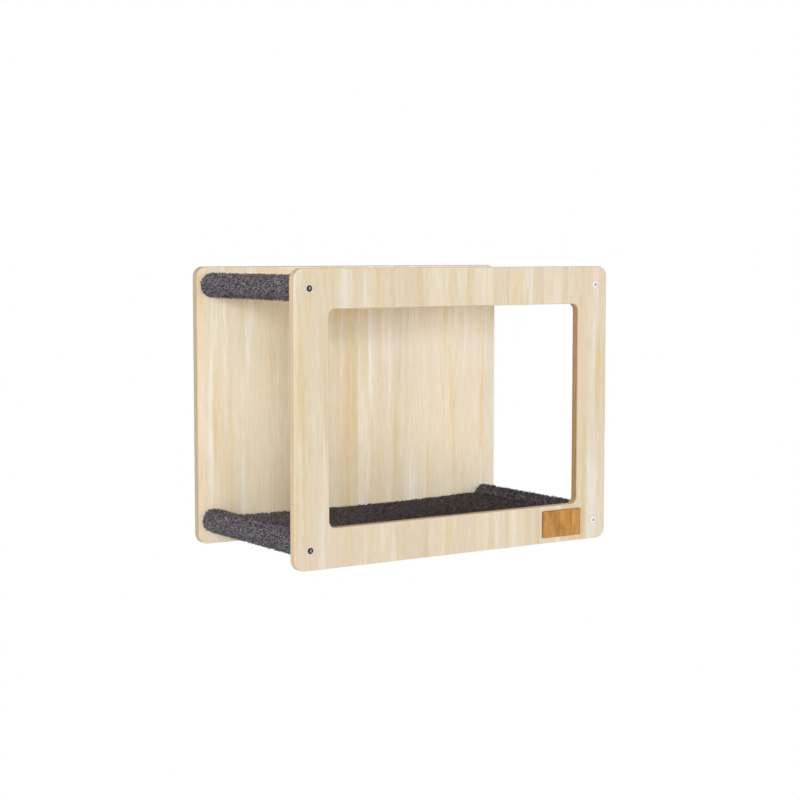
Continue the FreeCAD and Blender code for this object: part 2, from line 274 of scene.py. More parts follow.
class HideoutWood(bpy.types.PropertyGroup):
    """Colours and grain of the plywood, the rails and the badge plate."""

    face_main: colour_setting("Face", "Main colour of the face veneer", (230, 214, 187))
    face_pale: colour_setting("Pale streak", "Palest streaks of the face veneer", (241, 233, 220))
    face_gold: colour_setting("Golden streak", "Golden streaks of the face veneer", (225, 197, 141))
    face_blush: colour_setting("Pinkish streak", "Pinkish bands of the face veneer", (231, 213, 188))
    fleck: colour_setting("Fleck", "Small flecks in the face veneer", (170, 145, 112))
    ply_long: colour_setting("Long ply", "Edge of a ply that runs along it", (221, 197, 165))
    ply_cross: colour_setting("Cross ply", "Edge of a ply that ends at it", (210, 189, 165))
    burn: colour_setting("Cut edge", "Browned edge of the cut window", (187, 148, 101))
    rail: colour_setting("Rail", "Bare wood of the round rails", (216, 190, 150))
    badge: colour_setting("Badge plate", "Stain of the badge plate", (200, 147, 77))
    badge_dark: colour_setting("Badge streak", "Dark streaks of the badge plate", (170, 113, 48))
    streak_width: length_setting("Streak width", "Width of a streak in the veneer", 0.013)
    streak_length: length_setting("Streak length", "Length of a streak in the veneer", 0.24)


class HideoutCarpet(bpy.types.PropertyGroup):
    """Size and colours of the carpet's pile and backing."""

    pile_length: length_setting("Pile length", "Length of a tuft of the cut pile", 0.0031)
    pile_width: length_setting("Tuft width", "Width of a tuft at its middle", 0.0012)
    pile_gap: length_setting("Tuft gap", "Least distance between two tufts", 0.0011)
    pile_lean: angle_setting("Lean", "Largest lean of a tuft", 38)
    pile_nap: angle_setting("Nap", "Even lean of the pile to the nearer side", 25)
    floor_nap: angle_setting("Floor nap", "Lean of the floor's pile to the back", 30)
    pile_seed: IntProperty(name="Seed", description="Start of the pile's random spread", default=7)
    yarn_dark: colour_setting("Dark yarn", "Darkest yarn of the pile", (65, 60, 65))
    yarn_light: colour_setting("Light yarn", "Lightest yarn of the pile", (182, 176, 185))
    backing: colour_setting("Backing", "Woven backing of the carpet", (92, 88, 88))


class HideoutMetal(bpy.types.PropertyGroup):
    """Colours of the bolts and inserts."""

    bolt: colour_setting("Bolt", "Plated steel of the bolts", (241, 241, 241))
    insert: colour_setting("Insert", "Brass of the threaded inserts", (216, 188, 128))


class HideoutStage(bpy.types.PropertyGroup):
    """The studio's light and floor."""

    floor_drop: length_setting("Floor drop", "Depth of the floor under the hideout's middle", 1.15)
    sky: FloatProperty(name="Sky", description="Strength of the even light from all round", default=0.225)
    key: lamp_setting("Key light", "Power of the soft lamp beside the camera", 252.0)
    front_fill: lamp_setting("Front fill", "Power of the large lamp at the front", 142.0)
    left_fill: lamp_setting("Left fill", "Power of the large lamp on the left", 210.0)
    right_front: lamp_setting("Right front", "Power of the large lamp at the front on the right", 100.0)
    right_fill: lamp_setting("Right fill", "Power of the large lamp on the right", 90.0)
    rear_fill: lamp_setting("Rear fill", "Power of the large lamp behind", 260.0)


class HideoutSettings(bpy.types.PropertyGroup):
    """All settings of the hideout."""

    wood: PointerProperty(type=HideoutWood, name="Wood")
    carpet: PointerProperty(type=HideoutCarpet, name="Carpet")
    metal: PointerProperty(type=HideoutMetal, name="Metal")
    stage: PointerProperty(type=HideoutStage, name="Stage")


class Net:
    """Adds nodes to one tree and joins them; a value that isn't a socket is set in place."""

    def __init__(self, tree):
        self.tree = tree

    def feed(self, socket, value):
        if isinstance(value, bpy.types.NodeSocket):
            self.tree.links.new(value, socket)
        elif socket.type == "RGBA" and len(value) == 3:
            socket.default_value = (*value, 1.0)
        else:
            socket.default_value = value

    def add(self, kind, inputs=None, **settings):
        node = self.tree.nodes.new(kind)
        for name, value in settings.items():
            setattr(node, name, value)
        for name, value in (inputs or {}).items():
            self.feed(node.inputs[name], value)
        return node

    def take(self, kind, inputs=None, **settings):
        """The first output of a new node."""
        return self.add(kind, inputs, **settings).outputs[0]

    def maths(self, operation, *values):
        return self.take("ShaderNodeMath", dict(enumerate(values)), operation=operation)

    def times(self, first, second):
        return self.maths("MULTIPLY", first, second)

    def away(self, value, middle=0.0):
        """How far a value is from the middle one, to either side."""
        return self.maths("ABSOLUTE", self.maths("SUBTRACT", value, middle))

    def span(self, value, given, wanted, shape="LINEAR"):
        """Goes through the wanted range as the value goes through the given one."""
        return self.take("ShaderNodeMapRange", {
            "Value": value, "From Min": given[0], "From Max": given[1], "To Min": wanted[0],
            "To Max": wanted[1]}, interpolation_type=shape)

    def step(self, value, low, high):
        """Goes smoothly from 0 at low to 1 at high."""
        return self.span(value, (low, high), (0.0, 1.0), "SMOOTHSTEP")

    def between(self, value, low, high):
        """Goes evenly from low to high as the value goes from 0 to 1."""
        return self.span(value, (0.0, 1.0), (low, high))

    def blend(self, share, first, second, blend_type="MIX"):
        return self.add("ShaderNodeMix", {0: share, 6: first, 7: second}, data_type="RGBA",
                        blend_type=blend_type).outputs[2]

    def tinted(self, colour, tint):
        return self.blend(1.0, colour, tint, "MULTIPLY")

    def ramp(self, value, stops):
        node = self.add("ShaderNodeValToRGB", {0: value})
        elements = node.color_ramp.elements
        while len(elements) < len(stops):
            elements.new(1.0)
        for element, (place, colour) in zip(elements, stops):
            element.position = place
            element.color = (*colour, 1.0)
        return node.outputs[0]

    def scaled(self, place, size, shift=ORIGIN, turn=ORIGIN):
        """Coordinates in which one unit is the given size along X, Y and Z, then turned and shifted."""
        return self.take("ShaderNodeMapping", {"Vector": place, "Location": shift, "Rotation": turn,
                                               "Scale": tuple(1 / length for length in size)})

    def noise(self, place, size, detail=2.0, roughness=0.5, distortion=0.0, shift=ORIGIN):
        return self.take("ShaderNodeTexNoise", {
            "Vector": self.scaled(place, size, shift), "Scale": 1.0, "Detail": detail,
            "Roughness": roughness, "Distortion": distortion})

    def split(self, vector):
        return self.add("ShaderNodeSeparateXYZ", {0: vector}).outputs

    def join(self, x, y, z=0.0):
        return self.take("ShaderNodeCombineXYZ", {"X": x, "Y": y, "Z": z})

    def chance(self, seed):
        """A random number from 0 to 1 for each point."""
        return self.add("FunctionNodeRandomValue", {"Seed": seed}, data_type="FLOAT").outputs[1]

    def group(self, maker, **inputs):
        """Places a node group, which is made when it is first wanted."""
        tree = bpy.data.node_groups.get(maker.__name__) or maker(maker.__name__)
        return self.add("ShaderNodeGroup", inputs, node_tree=tree).outputs


class Finish(Net):
    """The node net of a new material, with its Principled shader and the object's own coordinates."""

    def __init__(self, name):
        self.material = bpy.data.materials.new(name)
        self.material.use_nodes = True
        super().__init__(self.material.node_tree)
        self.shader = self.tree.nodes["Principled BSDF"]
        self.place = self.add("ShaderNodeTexCoord").outputs["Object"]

    def normal(self):
        return self.split(self.add("ShaderNodeNewGeometry").outputs["Normal"])

    def done(self, colour, roughness, gloss=0.5, metallic=0.0, height=None, depth=0.0003, strength=0.4):
        """Feeds the shader, lets a height turn its normals and gives the material."""
        for name, value in (("Base Color", colour), ("Roughness", roughness),
                            ("Specular IOR Level", gloss), ("Metallic", metallic)):
            self.feed(self.shader.inputs[name], value)
        if height is not None:
            self.feed(self.shader.inputs["Normal"], self.take("ShaderNodeBump", {
                "Strength": strength, "Distance": depth, "Height": height}))
        return self.material


def new_group(name, inputs, outputs, kind="ShaderNodeTree"):
    """A node group with its named sockets: its node net, its inputs and its output node."""
    tree = bpy.data.node_groups.new(name, kind)
    for in_out, sockets in (("INPUT", inputs), ("OUTPUT", outputs)):
        for label, socket_type in sockets.items():
            tree.interface.new_socket(label, in_out=in_out, socket_type=f"NodeSocket{socket_type}")
    net = Net(tree)
    return net, net.add("NodeGroupInput").outputs, net.add("NodeGroupOutput")


def filled(net, out, *values):
    """Feeds a group's outputs and gives its tree."""
    for socket, value in zip(out.inputs, values):
        net.feed(socket, value)
    return net.tree


def wood_grain(name):
    """Streaks, strips, fibres and flecks along Z, in units of one streak's width and length."""
    labels = ("Light", "Gold", "Blush", "Strip", "Fibre", "Fleck")
    net, given, out = new_group(name, {"Vector": "Vector"}, dict.fromkeys(labels, "Float"))
    x, y, z = net.split(given["Vector"])
    wander = net.noise(given["Vector"], (5.0, 5.0, 0.9), detail=1.0)
    ripple = net.noise(given["Vector"], (1.2, 1.2, 0.1), detail=1.0, shift=(5.5, 3.7, 2.3))
    side = net.maths("ADD", x, net.between(wander, -STREAK_WANDER, STREAK_WANDER))
    side = net.maths("ADD", side, net.between(ripple, -STREAK_RIPPLE, STREAK_RIPPLE))
    place = net.join(side, y, z)
    light = net.noise(place, (1.5, 1.5, 1.6), detail=4.0, roughness=0.6)
    gold = net.noise(place, (1.3, 1.3, 1.3), detail=4.0, roughness=0.58, shift=(7.3, 2.1, 4.4))
    blush = net.noise(place, (3.6, 3.6, 1.4), shift=(2.9, 6.6, 1.8))
    strip = net.add("ShaderNodeTexVoronoi", {"W": net.maths("DIVIDE", x, 2.6), "Scale": 1.0},
                    voronoi_dimensions="1D").outputs["Color"]
    fibre = net.noise(place, (0.17, 0.17, 0.13), detail=3.0, roughness=0.6, shift=(1.7, 5.2, 0.6))
    speck = net.noise(place, (0.17, 0.17, 0.024), detail=0.0, shift=(3.1, 8.4, 9.2))
    patch = net.noise(place, (4.0, 4.0, 0.35), detail=1.0, shift=(9.9, 1.3, 6.1))
    fleck = net.times(net.step(speck, 0.81, 0.87), net.step(patch, 0.57, 0.7))
    return filled(net, out, light, gold, blush, net.split(strip)[0], fibre, fleck)


def ply_edge(name):
    """The layers of a plywood edge: a mask of the cross plies and one of the glue lines."""
    net, given, out = new_group(name, {"Vector": "Vector", "Depth": "Float"},
                                {"Cross": "Float", "Glue": "Float", "Fibre": "Float"})
    wander = net.noise(given["Vector"], (0.05, 0.003, 0.05))
    depth = net.maths("ADD", given["Depth"], net.between(wander, -PLY_WANDER, PLY_WANDER))
    cross, glue = [], []
    for line, before, after in zip(GLUE_LINES, (BLACK, WHITE) * 2, (WHITE, BLACK) * 2):
        cross += [(line - PLY_BLUR, before), (line + PLY_BLUR, after)]
        glue += [(line - GLUE_REACH, BLACK), (line, WHITE), (line + GLUE_REACH, BLACK)]
    fibre = net.noise(given["Vector"], (0.0022, 0.0009, 0.0022), detail=3.0, roughness=0.6)
    return filled(net, out, net.ramp(depth, cross), net.ramp(depth, glue), fibre)


def handling_marks(name):
    """Fine scratches and dull spots of handled metal."""
    net, given, out = new_group(name, {"Vector": "Vector"}, {"Scratch": "Float", "Dull": "Float"})
    scratch = net.noise(given["Vector"], (0.0002, 0.002, 0.004), roughness=0.6, distortion=0.4)
    dull = net.noise(given["Vector"], (0.003, 0.003, 0.003))
    return filled(net, out, net.step(scratch, 0.55, 0.75), dull)


def plywood(name, low_y, high_y, wood, shift, tones_with_painted_light, edge_painted_light_and_shade, window=False):
    """Varnished plywood: streaked veneer on its faces, plies on its edges."""
    net = Finish(name)
    x, y, z = net.split(net.place)
    streak = (wood.streak_width, STREAK_DEPTH, wood.streak_length)
    grain = net.group(wood_grain, Vector=net.scaled(net.place, streak, shift))
    face = wood.face_main
    for label, low, high, share, colour in STREAKS:
        mask = net.times(net.step(grain[label], low, high), share)
        face = net.blend(mask, face, getattr(wood, colour))
    face = net.tinted(face, net.ramp(grain["Strip"], STRIP_TINTS))
    face = net.tinted(face, net.ramp(grain["Fibre"], FIBRE_TINTS))
    face = net.blend(net.times(grain["Fleck"], FLECK_SHARE), face, wood.fleck)
    across = net.step(x, FRAME_LOW.x, FRAME_HIGH.x)
    # Tones across the sheet; on the back panel they are painted light, lighter towards the right
    face = net.tinted(face, net.blend(across, *tones_with_painted_light))
    depth = net.maths("DIVIDE", net.maths("SUBTRACT", y, low_y), high_y - low_y)
    plies = net.group(ply_edge, Vector=net.place, Depth=depth)
    edge = net.blend(plies["Cross"], wood.ply_long, wood.ply_cross)
    # Painted light on the front frame's edges and painted shade on the back panel's
    edge = net.tinted(edge, dimmed(WHITE, edge_painted_light_and_shade))
    normal = net.normal()
    if window:
        inside = net.times(net.maths("LESS_THAN", net.away(x), FRAME_HIGH.x - BURN_INSET),
                           net.maths("LESS_THAN", net.away(z), FRAME_HIGH.z - BURN_INSET))
        upright = net.between(net.away(normal[0]), BURN_LEVEL_SHARE, 1.0)
        burn_cross = tuple(part * share for part, share in zip(wood.burn, BURN_CROSS))
        browned = net.blend(plies["Cross"], wood.burn, burn_cross)
        edge = net.blend(net.times(inside, upright), edge, browned)
    edge = net.blend(net.times(plies["Glue"], GLUE_SHARE), edge, wood.burn)
    edge = net.tinted(edge, net.ramp(plies["Fibre"], PLY_TINTS))
    on_face = net.step(net.away(normal[1]), 0.8, 0.95)
    return net.done(net.blend(on_face, edge, face), net.between(grain["Fibre"], 0.48, 0.62),
                    gloss=0.35, height=grain["Fibre"], depth=0.0002, strength=0.25)


def round_wood(wood):
    """Bare round bar with long grain along Y."""
    net = Finish("rail_wood")
    grain = net.group(wood_grain, Vector=net.scaled(net.place, RAIL_GRAIN,
                                                    turn=(math.pi / 2, 0.0, 0.0)))
    streak = dimmed(wood.rail, RAIL_STREAK_SHADE)
    colour = net.ramp(grain["Light"], [(0.35, wood.rail), (0.68, streak)])
    return net.done(colour, net.between(grain["Fibre"], 0.6, 0.75), height=grain["Fibre"])


def stained_wood(wood):
    """Mottled brown stain of the badge plate."""
    net = Finish("badge_stain")
    grain = net.group(wood_grain, Vector=net.scaled(net.place, BADGE_GRAIN))
    mottle = net.noise(net.place, BADGE_MOTTLE, detail=3.0, roughness=0.6)
    colour = net.blend(net.step(grain["Light"], 0.36, 0.66), wood.badge, wood.badge_dark)
    colour = net.tinted(colour, net.ramp(mottle, MOTTLE_TINTS))
    side = net.step(net.away(net.normal()[1]), 0.9, 0.6)
    colour = net.blend(side, colour, dimmed(wood.badge_dark, BADGE_SIDE_SHADE))
    return net.done(colour, net.between(mottle, 0.38, 0.55), height=grain["Fibre"],
                    depth=0.0002, strength=0.3)


def in_socket(net):
    """1 in the sunk sockets of the bolts, near the axes that mirror one corner's, where painted shade
    darkens them.
    """
    x, y, z = net.split(net.place)
    aside = net.away(net.away(x), BOLT_AXIS.x)
    above = net.away(net.away(z), BOLT_AXIS.z)
    reach = net.maths("SQRT", net.maths("ADD", net.times(aside, aside), net.times(above, above)))
    sunk = net.times(net.maths("GREATER_THAN", y, BOLT_LOW.y + SOCKET_LIP),
                     net.maths("LESS_THAN", y, REAR_BOLT_HIGH.y - SOCKET_LIP))
    return net.times(net.maths("LESS_THAN", reach, SOCKET_REACH), sunk)


def plated(name, colour, roughness):
    """Bright metal with fine handling marks and painted shade in its sunk sockets."""
    net = Finish(name)
    marks = net.group(handling_marks, Vector=net.place)
    scratch = net.times(marks["Scratch"], SCRATCH_SHARE)
    tint = net.blend(scratch, colour, dimmed(colour, SCRATCH_SHADE))
    # Painted shade: the sunk sockets are darkened
    tint = net.blend(in_socket(net), tint, dimmed(colour, SOCKET_PAINTED_SHADE))
    dull = net.between(marks["Dull"], roughness, roughness + DULL_ROUGHNESS)
    return net.done(tint, dull, metallic=1.0, height=marks["Scratch"], depth=0.00005, strength=0.1)


def pile_yarn(carpet):
    """Cut pile, coloured by the tuft's own map: its yarn across, darker on the floor by painted shade,
    and its height up, with painted shade at the foot.
    """
    net = Finish("pile_yarn")
    yarn, height, _ = net.split(net.take("ShaderNodeUVMap", uv_map="OFBake"))
    colour = net.ramp(yarn, [(0.0, carpet.yarn_dark), (1.0, carpet.yarn_light)])
    # Painted shade at the tuft's foot, and a light band under its tip
    shade = net.ramp(height, [(share, dimmed(WHITE, level)) for share, level in TUFT_BANDS_AND_PAINTED_SHADE])
    return net.done(net.tinted(colour, shade), net.between(yarn, 0.95, 0.85), gloss=0.1)


def pile_ground(carpet):
    """The ground between the tufts, painted darker than the darkest yarn as the shade among them."""
    net = Finish("pile_ground")
    clump = net.noise(net.place, dimmed(WHITE, GROUND_CLUMP), detail=3.0, roughness=0.65)
    # Painted shade between the tufts
    dark = dimmed(carpet.yarn_dark, GROUND_PAINTED_SHADE)
    colour = net.ramp(clump, [(0.35, dark), (0.7, carpet.yarn_dark)])
    return net.done(colour, net.between(clump, 0.9, 1.0), gloss=0.1, height=clump,
                    depth=0.0006, strength=0.6)


def woven_back(carpet):
    """The coarse weave of the carpet's back, with painted shade in its hollows."""
    net = Finish("carpet_back")
    x, y, z = net.split(net.place)
    waves = math.tau / WEAVE_PITCH
    warp = net.maths("SINE", net.times(net.maths("ADD", x, z), waves))
    weft = net.maths("SINE", net.times(y, waves))
    weave = net.between(net.times(warp, weft), 0.5, 1.0)
    fuzz = net.noise(net.place, dimmed(WHITE, WEAVE_FUZZ), detail=3.0, roughness=0.6)
    height = net.times(weave, net.between(fuzz, 0.7, 1.1))
    # Painted shade: the weave is darker where it lies lower
    colour = net.ramp(height, [(0.3, dimmed(carpet.backing, WEAVE_PAINTED_SHADE)), (0.9, carpet.backing)])
    return net.done(colour, net.between(fuzz, 0.85, 0.98), gloss=0.2, height=height,
                    depth=0.0004, strength=0.5)


def thread(carpet):
    """Twisted sewing thread."""
    net = Finish("seam_thread")
    twist = net.noise(net.place, THREAD_TWIST)
    colour = net.ramp(twist, [(0.35, carpet.yarn_dark), (0.7, carpet.yarn_light)])
    return net.done(colour, net.between(twist, 0.6, 0.8), height=twist, depth=0.0001)


def only(obj):
    """Makes an object the active one and the only one selected."""
    bpy.ops.object.select_all(action="DESELECT")
    obj.select_set(True)
    bpy.context.view_layer.objects.active = obj


def edit_all():
    bpy.ops.object.mode_set(mode="EDIT")
    bpy.ops.mesh.select_all(action="SELECT")


def leave_edit():
    bpy.ops.object.mode_set(mode="OBJECT")


def added(name):
    """Names the primitive that was just added."""
    obj = bpy.context.object
    obj.name = obj.data.name = name
    return obj


def apply_modifier(obj, kind, **settings):
    modifier = obj.modifiers.new(kind.title(), kind)
    for name, value in settings.items():
        setattr(modifier, name, value)
    only(obj)
    bpy.ops.object.modifier_apply(modifier=modifier.name)


def pick(obj, wanted):
    """In edit mode, selects the points whose place is wanted."""
    bpy.ops.mesh.select_mode(type="VERT")
    bpy.ops.mesh.select_all(action="DESELECT")
    edit = bmesh.from_edit_mesh(obj.data)
    for vertex in edit.verts:
        vertex.select_set(wanted(vertex.co))
    edit.select_flush_mode()
    bmesh.update_edit_mesh(obj.data)


def set_materials(obj, *materials):
    obj.data.materials.clear()
    for material in materials:
        obj.data.materials.append(material)


def finish_nodes(nodes, material):
    """Gives CAD nodes a finish in their own slots."""
    for node in nodes:
        obj = bpy.data.objects[node]
        for slot in obj.material_slots:
            slot.material = material
        if not obj.material_slots:
            raise RuntimeError(f"{node} has no material slot")


def copy_of(obj, name):
    """A copy with a mesh of its own."""
    only(obj)
    bpy.ops.object.duplicate()
    return added(name)


def carpet_row(name, place):
    """A row of points along the carpet's width, at an X and Z, to sweep a sheet from."""
    bpy.ops.mesh.primitive_grid_add(x_subdivisions=1, y_subdivisions=ROW_STEPS, size=1.0, location=ORIGIN)
    row = added(name)
    edit_all()
    pick(row, lambda point: point.x > 0)
    bpy.ops.mesh.delete(type="VERT")
    edit_all()
    bpy.ops.transform.resize(value=(1.0, SLEEVE_HIGH.y - SLEEVE_LOW.y, 1.0))
    bpy.ops.transform.translate(value=(place.x + 0.5, (SLEEVE_LOW.y + SLEEVE_HIGH.y) / 2, place.y))
    return row


def turn_between(start, end, clockwise):
    """The turn from one bearing to another, below zero when it is clockwise."""
    return -((start - end) % math.tau) if clockwise else (end - start) % math.tau


def sweep(centre, start, end, clockwise, steps):
    """Carries the selected row round a centre in XZ, from one bearing to another."""
    bpy.ops.mesh.spin(steps=steps, angle=turn_between(start, end, clockwise),
                      center=(centre.x, 0.0, centre.y), axis=(0.0, 1.0, 0.0))


def bearing(centre, place):
    return math.atan2(place.y - centre.y, place.x - centre.x)


def at_bearing(centre, radius, angle):
    return centre + Vector((math.cos(angle), math.sin(angle))) * radius


def inner_meeting(first, first_radius, second, second_radius):
    """The meeting point of two circles in XZ that lies nearer to the middle of the hideout."""
    gap = second - first
    distance = gap.length
    along = (distance ** 2 + first_radius ** 2 - second_radius ** 2) / (2 * distance)
    aside = math.sqrt(first_radius ** 2 - along ** 2)
    foot = first + gap * (along / distance)
    turned = Vector((-gap.y, gap.x)) / distance * aside
    return min(foot + turned, foot - turned, key=lambda point: abs(point.x))


def settle_order(obj):
    """In edit mode, gives points, edges and faces an order that is the same each run, unlike a sweep."""
    edit = bmesh.from_edit_mesh(obj.data)
    edit.verts.sort(key=lambda vertex: vertex.co.dot(ORDER_AXIS))
    edit.edges.sort(key=lambda edge: sum(vertex.co.dot(ORDER_AXIS) for vertex in edge.verts))
    edit.faces.sort(key=lambda face: face.calc_center_median().dot(ORDER_AXIS))
    bmesh.update_edit_mesh(obj.data)


def close_sheet(obj, up_test):
    """Joins the swept rows and turns the pile side outwards."""
    edit_all()
    bpy.ops.mesh.remove_doubles(threshold=WELD_DISTANCE)
    bpy.ops.mesh.normals_make_consistent(inside=False)
    settle_order(obj)
    leave_edit()
    if not up_test(obj.data):
        edit_all()
        bpy.ops.mesh.flip_normals()
        leave_edit()


def make_tuft(carpet, material):
    """One tuft of cut pile: a three-sided spindle with a bent tip and a map of its own."""
    length, width = carpet.pile_length, carpet.pile_width
    bpy.ops.mesh.primitive_cone_add(vertices=TUFT_SIDES, radius1=width * TUFT_FOOT, radius2=0.0,
                                    depth=length, end_fill_type="NOTHING",
                                    location=(0.0, 0.0, length / 2))
    tuft = added("pile_tuft")
    bpy.ops.object.transform_apply()
    edit_all()
    bpy.ops.mesh.bisect(plane_co=(0.0, 0.0, length * TUFT_BELLY), plane_no=(0.0, 0.0, 1.0))
    low, high = (share * length for share in TUFT_BELLY_RANGE)
    pick(tuft, lambda point: low < point.z < high)
    bpy.ops.transform.resize(value=(TUFT_BELLY_GROWTH, TUFT_BELLY_GROWTH, 1.0), center_override=ORIGIN)
    bpy.ops.transform.translate(value=(length * TUFT_BELLY_LEAN, 0.0, 0.0))
    pick(tuft, lambda point: point.z > high)
    bpy.ops.transform.translate(value=(length * TUFT_TIP_LEAN, 0.0, 0.0))
    leave_edit()
    bpy.ops.object.shade_smooth()
    edit_all()
    bpy.ops.mesh.point_normals(mode="COORDINATES", invert=True,
                               target_location=(0.0, 0.0, length * TUFT_LIGHT_CENTRE))
    leave_edit()
    layer = tuft.data.uv_layers.new(name="OFBake")
    for polygon in tuft.data.polygons:
        points = [tuft.data.vertices[vertex].co for vertex in polygon.vertices]
        middle = sum(points, Vector()) / len(points)
        facing = math.atan2(middle.y, middle.x)
        for loop, point in zip(polygon.loop_indices, points):
            turn = (math.atan2(point.y, point.x) - facing + math.pi) % math.tau / math.tau
            layer.data[loop].uv = (turn, point.z / length)
    set_materials(tuft, material)
    return tuft


def spread_points(net, given, carpet, x):
    """Points on the wanted part of the pile side, apart from the hems' seams, and their upright turns."""
    wanted = net.times(net.maths("GREATER_THAN", x, given["Low X"]),
                       net.maths("LESS_THAN", x, given["High X"]))
    spread = net.add("GeometryNodeDistributePointsOnFaces", {
        "Mesh": given["Geometry"], "Selection": wanted, "Distance Min": carpet.pile_gap,
        "Density Max": SPREAD_TRIES / carpet.pile_gap ** 2, "Seed": given["Seed"]},
        distribute_method="POISSON").outputs
    from_seam = net.away(net.away(x), SEAM_X)
    downwards = net.maths("LESS_THAN", net.split(spread["Normal"])[2], 0.0)
    in_seam = net.times(net.maths("LESS_THAN", from_seam, SEAM_GROOVE / 2), downwards)
    points = net.take("GeometryNodeDeleteGeometry", {
        "Geometry": spread["Points"], "Selection": in_seam}, domain="POINT")
    return points, spread["Rotation"]


def tuft_turn(net, carpet, x, off_floor, upright):
    """A tuft's own random lean, then the nap to the nearer side and the floor's nap to the back."""
    lean = net.take("FunctionNodeRandomValue", {
        0: (-carpet.pile_lean, -carpet.pile_lean, -math.pi),
        1: (carpet.pile_lean, carpet.pile_lean, math.pi), "Seed": carpet.pile_seed + 1},
        data_type="FLOAT_VECTOR")
    outwards = net.maths("ADD", net.span(x, NAP_TURN, (-carpet.pile_nap, carpet.pile_nap)),
                         net.span(x, ROLL_START, (0.0, carpet.pile_nap)))
    backwards = net.between(off_floor, -carpet.floor_nap, 0.0)
    turns = [("LOCAL", net.take("FunctionNodeEulerToRotation", {0: lean}))]
    for axis, angle in (((0.0, 1.0, 0.0), outwards), ((1.0, 0.0, 0.0), backwards)):
        turns.append(("GLOBAL", net.take("FunctionNodeAxisAngleToRotation",
                                         {"Axis": axis, "Angle": angle})))
    turned = upright
    for space, turn in turns:
        turned = net.take("FunctionNodeRotateRotation", {"Rotation": turned, "Rotate By": turn},
                          rotation_space=space)
    return turned


def yarn_shade(net, carpet, position, off_floor):
    """How light a tuft's yarn is: partly by its clump, partly by chance, and darker on the floor by
    painted shade.
    """
    clump = net.take("ShaderNodeTexNoise", {"Vector": position, "Scale": 1 / CLUMP_SIZE, "Detail": 2.0})
    shade = net.maths("ADD", net.times(net.step(clump, *CLUMP_RANGE), CLUMP_SHARE),
                      net.times(net.chance(carpet.pile_seed + 3), CHANCE_SHARE))
    return net.times(shade, net.between(off_floor, FLOOR_PAINTED_SHADE, 1.0))


def pile_nodes(tuft, carpet):
    """Geometry nodes that spread leaning tufts over the pile side of a sheet."""
    net, given, out = new_group(
        "cut_pile", {"Geometry": "Geometry", "Low X": "Float", "High X": "Float", "Seed": "Int"},
        {"Geometry": "Geometry"}, "GeometryNodeTree")
    position = net.take("GeometryNodeInputPosition")
    x, y, z = net.split(position)
    off_floor = net.span(net.away(x, FLOOR_MIDDLE), FLOOR_REACH, (0.0, 1.0))
    points, upright = spread_points(net, given, carpet, x)
    size = net.maths("POWER", net.chance(carpet.pile_seed + 2), TUFT_SCALE_POWER)
    tufts = net.take("GeometryNodeInstanceOnPoints", {
        "Points": points, "Rotation": tuft_turn(net, carpet, x, off_floor, upright),
        "Scale": net.between(size, *TUFT_SCALES),
        "Instance": net.add("GeometryNodeObjectInfo", {"Object": tuft}).outputs["Geometry"]})
    named = net.take("GeometryNodeStoreNamedAttribute", {
        "Geometry": tufts, "Name": "yarn", "Value": yarn_shade(net, carpet, position, off_floor)},
        data_type="FLOAT", domain="INSTANCE")
    kept_y = net.take("ShaderNodeClamp", {"Value": y, "Min": SLEEVE_LOW.y, "Max": SLEEVE_HIGH.y})
    kept = net.take("GeometryNodeSetPosition", {
        "Geometry": net.take("GeometryNodeRealizeInstances", {"Geometry": named}),
        "Position": net.join(x, kept_y, z)})
    round_tuft, height, _ = net.split(net.take(
        "GeometryNodeInputNamedAttribute", {"Name": "OFBake"}, data_type="FLOAT_VECTOR"))
    yarn = net.take("GeometryNodeInputNamedAttribute", {"Name": "yarn"}, data_type="FLOAT")
    across = net.maths("ADD", yarn, net.times(round_tuft, ROUND_SHARE))
    mapped = net.take("GeometryNodeStoreNamedAttribute", {
        "Geometry": kept, "Name": "OFBake", "Value": net.join(across, height)},
        data_type="FLOAT2", domain="CORNER")
    plain = net.take("GeometryNodeRemoveAttribute", {"Geometry": mapped, "Name": "yarn"})
    return filled(net, out, plain)


def sew_row(name, place, material):
    """A row of stitches along Y that dip into the carpet at both ends, from a point in XZ."""
    bpy.ops.mesh.primitive_cylinder_add(vertices=THREAD_SIDES, radius=THREAD_RADIUS, depth=STITCH_LENGTH,
                                        rotation=(math.pi / 2, 0.0, 0.0), location=ORIGIN)
    row = added(name)
    bpy.ops.object.transform_apply()
    for bend in (-STITCH_BEND, STITCH_BEND):
        edit_all()
        bpy.ops.mesh.bisect(plane_co=(0.0, bend, 0.0), plane_no=(0.0, 1.0, 0.0))
    for side in (-1, 1):
        pick(row, lambda point: point.y * side > STITCH_END)
        bpy.ops.transform.resize(value=(STITCH_TAPER, 1.0, STITCH_TAPER), center_override=ORIGIN)
        bpy.ops.transform.translate(value=(0.0, 0.0, THREAD_DIP))
    edit_all()
    bpy.ops.transform.translate(value=(place.x, SLEEVE_LOW.y + STITCH_PITCH, place.y))
    leave_edit()
    count = int((SLEEVE_HIGH.y - SLEEVE_LOW.y) / STITCH_PITCH) - 1
    apply_modifier(row, "ARRAY", count=count, use_relative_offset=False, use_constant_offset=True,
                   constant_offset_displace=(0.0, STITCH_PITCH, 0.0))
    bpy.ops.object.shade_smooth_by_angle(angle=THREAD_SMOOTHING)
    set_materials(row, material)
    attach(row, BODY)
    return row


